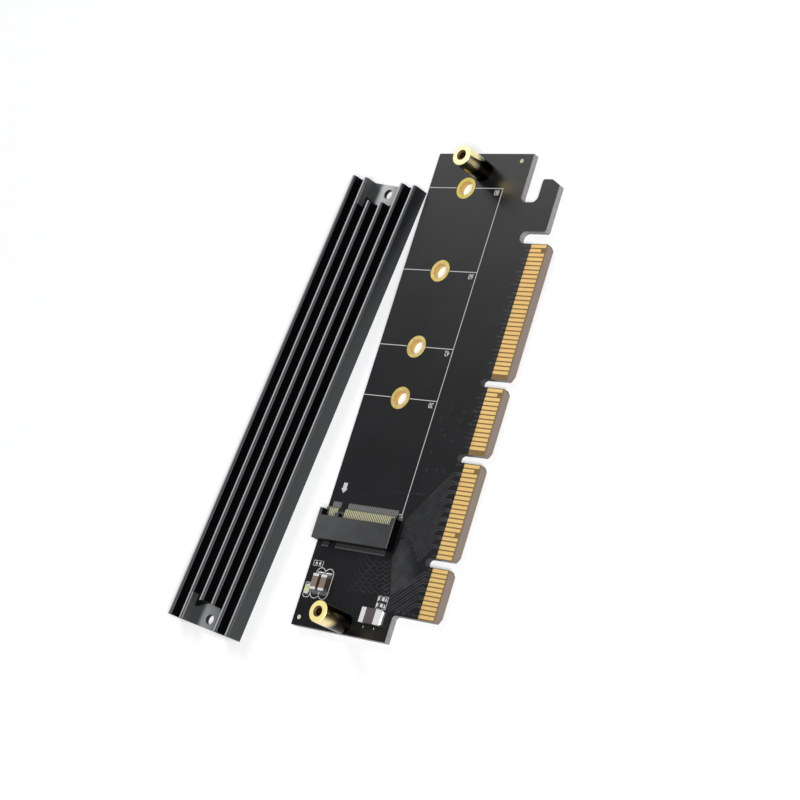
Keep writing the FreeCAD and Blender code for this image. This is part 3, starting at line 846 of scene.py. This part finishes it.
def printLines():
    look = printLook
    wide, low, high = look["lineWide"], boardTop, boardTop + look["thick"]
    shape = bmesh.new()
    lineY = driveY - look["lineDown"]
    addRibbon(shape, [(look["lineStart"], lineY), (holeX["80"] + wide / 2, lineY)], wide, low, high)
    place, start, end = look["tickPlace"], lineY - look["tickBelow"], lineY + look["tickAbove"]
    addRibbon(shape, [(place, start), (place, end)], wide, low, high)
    clear = ringRadius + look["ringClear"]
    farEnd = boardHigh.y - look["edgeClear"]
    for place in holeX.values():
        for start, end in ((lineY, driveY - clear), (driveY + clear, farEnd)):
            addRibbon(shape, [(place, start), (place, end)], wide, low, high)
    addPiece("printed_bay_lines", shape, finishes["print_ink"])

    shape = bmesh.new()
    tip, head, end = look["arrowTip"], look["arrowHead"], look["arrowEnd"]
    y, half, headHalf = look["arrowY"], look["arrowHalf"], look["arrowHeadHalf"]
    addPrism(shape, [(tip, y), (head, y - headHalf), (head, y + headHalf)], low, high)
    addBlock(shape, head, end, y - half, y + half, low, high)
    addPiece("printed_arrow", shape, finishes["print_ink"])


def printNumbers():
    # they are read from the far side of the card, so their tops point to the bracket end
    look = printLook
    shape = bmesh.new()
    y = driveY - look["lineDown"] + look["numberUp"]
    z = boardTop + look["thick"] / 2
    for name, place in holeX.items():
        curve = bpy.data.curves.new(f"number_{name}", "FONT")
        curve.body = name
        curve.size = look["numberHigh"] / capitalShare * mm
        curve.extrude = look["thick"] / 2 * mm
        curve.offset = look["numberBold"] * mm
        text = bpy.data.objects.new(f"number_{name}", curve)
        bpy.context.scene.collection.objects.link(text)
        bpy.context.view_layer.update()
        mesh = bpy.data.meshes.new_from_object(text)
        spot = Vector((place - look["numberGap"], y, z))
        mesh.transform(Matrix((
            (0, -1, 0, spot.x * mm),
            (look["numberSqueeze"], 0, 0, spot.y * mm),
            (0, 0, 1, spot.z * mm),
            (0, 0, 0, 1))))
        shape.from_mesh(mesh)
        bpy.data.objects.remove(text)
    addPiece("printed_length_numbers", shape, finishes["print_ink"])


def printBrackets(shape, low, high):
    # one bracket round each end of a small part that lies along Y
    look = outlineLook
    left, right = low.x - look["bracketLeft"], high.x + look["bracketRight"]
    middle = (low.y + high.y) / 2
    for side in (-1, 1):
        near = middle + side * look["bracketSplit"]
        far = middle + side * (high.y - low.y + look["bracketReach"]) / 2
        addRibbon(shape, [(left, near), (left, far), (right, far), (right, near)],
                  look["bracketWide"], boardTop, boardTop + printLook["thick"])


def printOutlines():
    look = outlineLook
    low, high = boardTop, boardTop + printLook["thick"]
    shape = bmesh.new()
    for number in ("1", "2"):
        start, end = span(f"capacitor_{number}_ends")
        middle = (start + end) / 2
        line = capsule(middle.x, middle.y + look["capsuleUp"],
                       look["capsuleHalfLong"], look["capsuleHalfWide"])
        addRibbon(shape, line, look["wide"], low, high, True)
    start, end = span("power_lamp_ends")
    left, right = start.x - look["lampLeft"], end.x + look["lampRight"]
    bottom, top, cut = start.y - look["lampBelow"], end.y + look["lampAbove"], look["lampCut"]
    line = [(right, bottom), (right, top), (left + cut, top), (left, top - cut),
            (left, bottom + cut), (left + cut, bottom)]
    addRibbon(shape, line, look["wide"] * look["lampThin"], low, high, True)
    for number in ("1", "2"):
        printBrackets(shape, *span(f"filter_capacitor_{number}_ends"))
    spare = Vector((spareLook["x"], spareLook["y"]))
    reach = Vector((spareLook["halfWide"], spareLook["halfLong"]))
    printBrackets(shape, spare - reach, spare + reach)
    start, end = span("power_fuse_ends")
    far, near = start.x - look["fuseMarkFar"], start.x - look["fuseMarkNear"]
    for y in (start.y + look["fuseMarkIn"], end.y - look["fuseMarkIn"]):
        addRibbon(shape, [(far, y), (near, y)], look["fuseMarkWide"], low, high)
    addPiece("printed_part_outlines", shape, finishes["print_ink"])


printLines()
printNumbers()
printOutlines()
print("print laid down")


# Solder: joints at the ends of the small parts, pads with joints under the socket's contacts

solderLook = {
    "padThick": 0.03,
    "jointShare": 0.6,
    "hollow": 2.2,
    "taper": 0.12,
    "steps": 6,
}

# how far a joint reaches from each end of a part, and half its width
jointLook = {
    "capacitor_1": (0.8, 0.92),
    "capacitor_2": (0.8, 0.92),
    "filter_capacitor_1": (0.24, 0.42),
    "filter_capacitor_2": (0.24, 0.42),
    "power_fuse": (0.75, 1.5),
    "power_lamp": (0.28, 0.5),
}

# the socket's rows have a gap at the key: contacts are counted from both ends of a row
tailLook = {
    "pitch": 0.5,
    "halfContact": 0.11,
    "nearCount": 29,
    "farCounts": (5, 4),
    "padUnder": 0.85,
    "padAhead": 0.28,
    "padHalf": 0.15,
    "jointHalf": 0.13,
    "jointReach": 0.26,
    "jointHigh": 0.1,
    "footIn": 0.4,
    "footHalf": 0.55,
    "footLeft": 1.0,
    "footRight": 0.3,
    "edgeClear": 0.02,
}


def solderEnd(shape, spot, outward, halfWide, reach, high):
    # a joint that climbs the end face of a part with a hollow slope
    look = solderLook
    out = Vector(outward)
    across = Vector((-out.y, out.x))
    rows = []
    for step in range(look["steps"] + 1):
        share = step / look["steps"]
        level = boardTop + look["padThick"] + high * (1 - share) ** look["hollow"]
        centre = Vector(spot) + out * reach * share
        width = halfWide * (1 - look["taper"] * share)
        rows.append([(centre + across * width * side, level) for side in (-1, -0.5, 0, 0.5, 1)])
    grid = [[shape.verts.new((place.x * mm, place.y * mm, level * mm)) for place, level in line]
            for line in rows]
    for first, second in zip(grid, grid[1:]):
        for side in range(4):
            shape.faces.new((first[side], first[side + 1], second[side + 1], second[side]))
    base = [[shape.verts.new((place.x * mm, place.y * mm, boardTop * mm))
             for place, level in (line[0], line[-1])] for line in rows]
    for here, there, slope, nextSlope in zip(base, base[1:], grid, grid[1:]):
        for side, end in ((0, 0), (1, -1)):
            shape.faces.new((here[side], there[side], nextSlope[end], slope[end]))
        shape.faces.new((here[0], here[1], there[1], there[0]))
    for line, row in ((0, base[0]), (-1, base[-1])):
        shape.faces.new([row[0], *grid[line], row[1]])


def solderChips():
    shape = bmesh.new()
    for name, (reach, half) in jointLook.items():
        low, high = span(f"{name}_ends")
        middle = (low + high) / 2
        alongX = high.x - low.x > high.y - low.y
        climb = (high.z - low.z) * solderLook["jointShare"]
        for side in (-1, 1):
            if alongX:
                spot, out = (low.x if side < 0 else high.x, middle.y), (side, 0)
            else:
                spot, out = (middle.x, low.y if side < 0 else high.y), (0, side)
            solderEnd(shape, spot, out, half, reach, climb)
    addPiece("solder_part_joints", shape, solderTin)


def solderTails():
    look = tailLook
    bottom, top = boardTop, boardTop + solderLook["padThick"]
    shape = bmesh.new()
    rows = (("drive_socket_lower_contacts", 1), ("drive_socket_upper_contacts", -1))
    for (node, side), farCount in zip(rows, look["farCounts"]):
        low, high = span(node)
        edge = high.x if side > 0 else low.x
        left, right = sorted((edge - side * look["padUnder"], edge + side * look["padAhead"]))
        for start, count in ((low.y, look["nearCount"]), (high.y, -farCount)):
            for step in range(abs(count)):
                y = start + math.copysign(step * look["pitch"] + look["halfContact"], count)
                addBlock(shape, left, right, y - look["padHalf"], y + look["padHalf"], bottom, top)
                solderEnd(shape, (edge, y), (side, 0), look["jointHalf"], look["jointReach"],
                          look["jointHigh"])
    low, high = span("drive_socket_feet")
    left, right = low.x + look["footLeft"], high.x + look["footRight"]
    for y in (low.y + look["footIn"], high.y - look["footIn"]):
        far = min(y + look["footHalf"], boardHigh.y - look["edgeClear"])
        addBlock(shape, left, right, y - look["footHalf"], far, bottom, top)
    addPiece("solder_socket_pads", shape, padTin)


def solderSpare():
    shape = bmesh.new()
    look = spareLook
    left, right = look["x"] - look["halfWide"], look["x"] + look["halfWide"]
    for side in (-1, 1):
        near, far = sorted((look["y"] + side * look["gap"], look["y"] + side * look["halfLong"]))
        addBlock(shape, left, right, near, far,
                 boardTop, boardTop + solderLook["padThick"] * 2, look["lean"])
    addPiece("solder_spare_pads", shape, finishes["end_tin"])


solderChips()
solderTails()
solderSpare()
print("solder laid down")


# Copper tracks and small plated holes that show as relief under the mask

trackLook = {
    "high": 0.028,
    "wide": 0.32,
    "gap": 0.58,
    "rootClear": 0.1,
    # pairs that fan out from the contacts past the key notch to the socket's near end: each
    # bends where it meets one slanting line
    "fanCount": 9,
    "fanStart": 19.5,
    "fanPitch": 2.0,
    "fanRise": 7.4,
    "fanSlope": 1.35,
    "bendLine": (2.1, 0.8, 2.08),
    "fanEnd": 4.2,
    "fanTail": (0.6, 0.2),
    # shorter pairs on the bracket side of the notch
    "sideCount": 5,
    "sideStart": -2.5,
    "sidePitch": 1.7,
    "sideRise": 7.2,
    "sideSlope": 0.85,
    "sideStop": 11.6,
    "sideLongest": 7.3,
    # zigzag rows behind the socket, each place for the first row and for the last
    "rowCount": 8,
    "rowNear": ((-1.3, 17.2), (-7.9, 14.9)),
    "rowFar": ((-2.0, 22.8), (-8.7, 26.9)),
    "rowBend": ((-0.5, 24.8), (-2.7, 30.8)),
    "rowEnd": ((-0.25, 25.4), (-0.25, 32.2)),
    "toothLong": 1.9,
    "toothDeep": 0.33,
    # the broad copper area where the pairs pass
    "areaShare": 0.6,
    "area": [(-0.4, 17.1), (-8.0, 14.6), (-6.4, 11.5), (-3.9, 7.6), (1.1, 10.6), (4.6, 13.6),
             (3.8, 16.4)],
}


def addPair(shape, points):
    look = trackLook
    for side in (-1, 1):
        addRibbon(shape, points, look["wide"], boardTop, boardTop + look["high"],
                  shift=side * look["gap"] / 2)


def meander(start, end, toothLong, toothDeep):
    # zigzag that gives the tracks of a bus one length
    teeth = round((end - start).length / toothLong)
    along = (end - start) / (teeth * 2)
    across = Vector((-along.y, along.x)).normalized() * toothDeep
    return [start + along * step + across * (1 if step % 2 else -1)
            for step in range(teeth * 2 + 1)]


def addTracks():
    look = trackLook
    shape = bmesh.new()
    foot, rise = fingerRoot + look["rootClear"], look["fanRise"]
    start, lean, slope = look["bendLine"]
    tailX, tailY = look["fanTail"]
    for number in range(look["fanCount"]):
        root = look["fanStart"] - look["fanPitch"] * number
        reach = (start + lean * root) / slope
        bend = Vector((root - look["fanSlope"] * reach, rise + reach))
        addPair(shape, [(root, foot), (root, rise), bend,
                        (min(bend.x - tailX, look["fanEnd"]), bend.y + tailY)])
    rise, slope = look["sideRise"], look["sideSlope"]
    for number in range(look["sideCount"]):
        root = look["sideStart"] - look["sidePitch"] * number
        reach = min(look["sideLongest"], (root + look["sideStop"]) / slope)
        addPair(shape, [(root, foot), (root, rise), (root - slope * reach, rise + reach)])
    for number in range(look["rowCount"]):
        share = number / (look["rowCount"] - 1)
        near, far, bend, end = (Vector(first).lerp(Vector(last), share) for first, last in
                                (look["rowNear"], look["rowFar"], look["rowBend"], look["rowEnd"]))
        line = meander(near, far, look["toothLong"], look["toothDeep"])
        addRibbon(shape, [*line, bend, end], look["wide"], boardTop, boardTop + look["high"])
    addPiece("mask_over_tracks", shape, maskOverCopper)

    shape = bmesh.new()
    addPrism(shape, look["area"], boardTop, boardTop + look["high"] * look["areaShare"])
    addPiece("mask_over_copper_area", shape, maskOverArea)


viaLook = {
    "radius": 0.22,
    "wide": 0.13,
    "highShare": 1.4,
    # stubs at the contact roots, in three lengths, two out of three with a hole at the end
    "contactWide": 0.7,
    "stubClear": 0.02,
    "stubLong": 0.75,
    "stubStep": 0.45,
    "stubShare": 0.8,
    "stubGap": 0.05,
    # rows of holes by the socket and the capacitors: count, first place, step
    "rows": [
        (25, (13.2, 36.6), (0.04, -0.95)),
        (6, (-11.4, 7.0), (0.0, 0.95)),
        (4, (-3.4, 33.0), (-0.1, 0.95)),
    ],
    "arrowClear": 1.2,
    # single holes strewn between the contacts and the bay line
    "seed": 5,
    "strewnCount": 14,
    "strewnBack": 12.4,
    "strewnX": (-3.0, 12.0),
    "strewnY": (9.0, 16.0),
}


def addVia(shape, x, y):
    look = viaLook
    ring = [(x + look["radius"] * math.cos(math.radians(30 * step)),
             y + look["radius"] * math.sin(math.radians(30 * step))) for step in range(12)]
    addRibbon(shape, ring, look["wide"], boardTop, boardTop + trackLook["high"] * look["highShare"],
              True)


def addPlatedHoles():
    look = viaLook
    stubTop = boardTop + trackLook["high"] * look["stubShare"]
    shape = bmesh.new()
    for group in "1234":
        low, high = span(f"edge_contacts_top_{group}")
        for step in range(round(high.x - low.x + 1 - look["contactWide"])):
            if group in "12" and step % 2:
                continue
            x = low.x + look["contactWide"] / 2 + step
            end = fingerRoot + look["stubLong"] + look["stubStep"] * (step % 3)
            addRibbon(shape, [(x, fingerRoot + look["stubClear"]), (x, end)], trackLook["wide"],
                      boardTop, stubTop)
            if step % 3 != 1:
                addVia(shape, x, end + look["radius"] + look["stubGap"])
    for count, (firstX, firstY), (stepX, stepY) in look["rows"]:
        for step in range(count):
            x, y = firstX + stepX * step, firstY + stepY * step
            byArrow = abs(y - printLook["arrowY"]) <= look["arrowClear"]
            if not (byArrow and x > printLook["arrowTip"]):
                addVia(shape, x, y)
    dice = random.Random(look["seed"])
    for step in range(look["strewnCount"]):
        x = holeX["30"] - look["strewnBack"] + dice.uniform(*look["strewnX"])
        addVia(shape, x, dice.uniform(*look["strewnY"]))
    addPiece("mask_over_plated_holes", shape, maskOverCopper)


addTracks()
addPlatedHoles()


# Screw threads in the pillars' bores

threadLook = {
    "pitch": 0.4,
    "deep": 0.07,
    "sunk": 0.01,
    "halfWide": 0.14,
    "start": 2.2,
    "top": 9.45,
    "steps": 20,
}


def addThreads():
    look = threadLook
    bore = min(mount["dims"]["r_mm"] for mount in frame["record"]["mounts"]
               if mount["kind"] == "threaded_hole")
    outer, inner, half = bore + look["sunk"], bore - look["deep"], look["halfWide"]
    turns = (look["top"] - look["start"]) / look["pitch"]
    for name in ("pillar_bracket_end", "pillar_hook_end"):
        low, high = span(name)
        middle = (low + high) / 2
        shape = bmesh.new()
        rows = []
        for step in range(int(turns * look["steps"]) + 1):
            angle = math.tau * step / look["steps"]
            level = look["start"] + look["pitch"] * step / look["steps"]
            rows.append([shape.verts.new(((middle.x + radius * math.cos(angle)) * mm,
                                          (middle.y + radius * math.sin(angle)) * mm,
                                          (level + rise) * mm))
                         for radius, rise in ((outer, -half), (inner, 0.0), (outer, half))])
        for here, there in zip(rows, rows[1:]):
            for side in range(3):
                nextSide = (side + 1) % 3
                shape.faces.new((here[side], here[nextSide], there[nextSide], there[side]))
        shape.faces.new(rows[0])
        shape.faces.new(rows[-1][::-1])
        addPiece(f"{name}_thread", shape, finishes["pillar_brass"])


addThreads()
print("tracks and threads made")


# Studio: places and sizes of the lights are in metres

cameraLook = {
    "place": (-70.29, -285.04, 340.95),
    "right": (0.2915, -0.7458, -0.5990),
    "up": (0.9307, 0.0766, 0.3576),
    "lens": 98.37,
    "sensor": 36.0,
    "nearest": 0.01,
    "furthest": 20,
}
studioLook = {
    "floorTone": (0.94, 0.94, 0.94),
    "floorCloud": 0.985,
    "floorCloudScale": 0.02,
    "floorRoughness": 0.9,
    "floorHalf": 3000,
    "floorDown": 0.02,
    "worldTone": (0.94, 0.97, 1.0),
    "worldStrength": 0.16,
}
lightLook = {
    "soft_key": {
        "place": (-0.4, -1.25, 1.45),
        "target": (0.03, 0.03, 0),
        "wide": 1.1,
        "tall": 0.8,
        "power": 48,
    },
    "soft_back": {
        "place": (0.70, 0.64, 0.62),
        "target": (0.06, 0.03, 0),
        "wide": 0.5,
        "tall": 0.4,
        "power": 3.2,
    },
}


def makeCamera():
    look = cameraLook
    right = Vector(look["right"]).normalized()
    up = Vector(look["up"])
    up = (up - right * up.dot(right)).normalized()
    back = right.cross(up)
    eye = bpy.data.cameras.new("camera")
    eye.lens, eye.sensor_width = look["lens"], look["sensor"]
    eye.clip_start, eye.clip_end = look["nearest"], look["furthest"]
    camera = bpy.data.objects.new("camera", eye)
    turn = Matrix((right, up, back)).transposed().to_4x4()
    camera.matrix_world = Matrix.Translation(Vector(look["place"]) * mm) @ turn
    bpy.context.scene.collection.objects.link(camera)
    bpy.context.scene.camera = camera


def makeFloor():
    look = studioLook
    half, level = look["floorHalf"], -look["floorDown"]
    shape = bmesh.new()
    shape.faces.new([shape.verts.new((x * mm, y * mm, level * mm))
                     for x, y in ((-half, -half), (half, -half), (half, half), (-half, half))])
    mesh = bpy.data.meshes.new("studio_floor")
    shape.to_mesh(mesh)
    shape.free()
    shader = Shader("pale_floor")
    cloud = shader.noise(look["floorCloudScale"], 2.0)
    clouded = tuple(part * look["floorCloud"] for part in look["floorTone"])
    tone = shader.mix(cloud, look["floorTone"], clouded)
    mesh.materials.append(shader.surface(tone, look["floorRoughness"]))
    floor = bpy.data.objects.new("studio_floor", mesh)
    bpy.context.scene.collection.objects.link(floor)


def makeLight(name, place, target, wide, tall, power):
    lamp = bpy.data.lights.new(name, "AREA")
    lamp.shape = "RECTANGLE"
    lamp.size, lamp.size_y = wide, tall
    lamp.energy = power
    holder = bpy.data.objects.new(name, lamp)
    holder.location = place
    aim = Vector(target) - Vector(place)
    holder.rotation_euler = aim.to_track_quat("-Z", "Y").to_euler()
    bpy.context.scene.collection.objects.link(holder)


def makeWorld():
    world = bpy.data.worlds.new("studio")
    world.use_nodes = True
    background = world.node_tree.nodes["Background"].inputs
    background["Color"].default_value = (*studioLook["worldTone"], 1.0)
    background["Strength"].default_value = studioLook["worldStrength"]
    bpy.context.scene.world = world
    bpy.context.scene.view_settings.view_transform = "Standard"


makeWorld()
makeCamera()
makeFloor()
for name, light in lightLook.items():
    makeLight(name, **light)
print("studio ready")
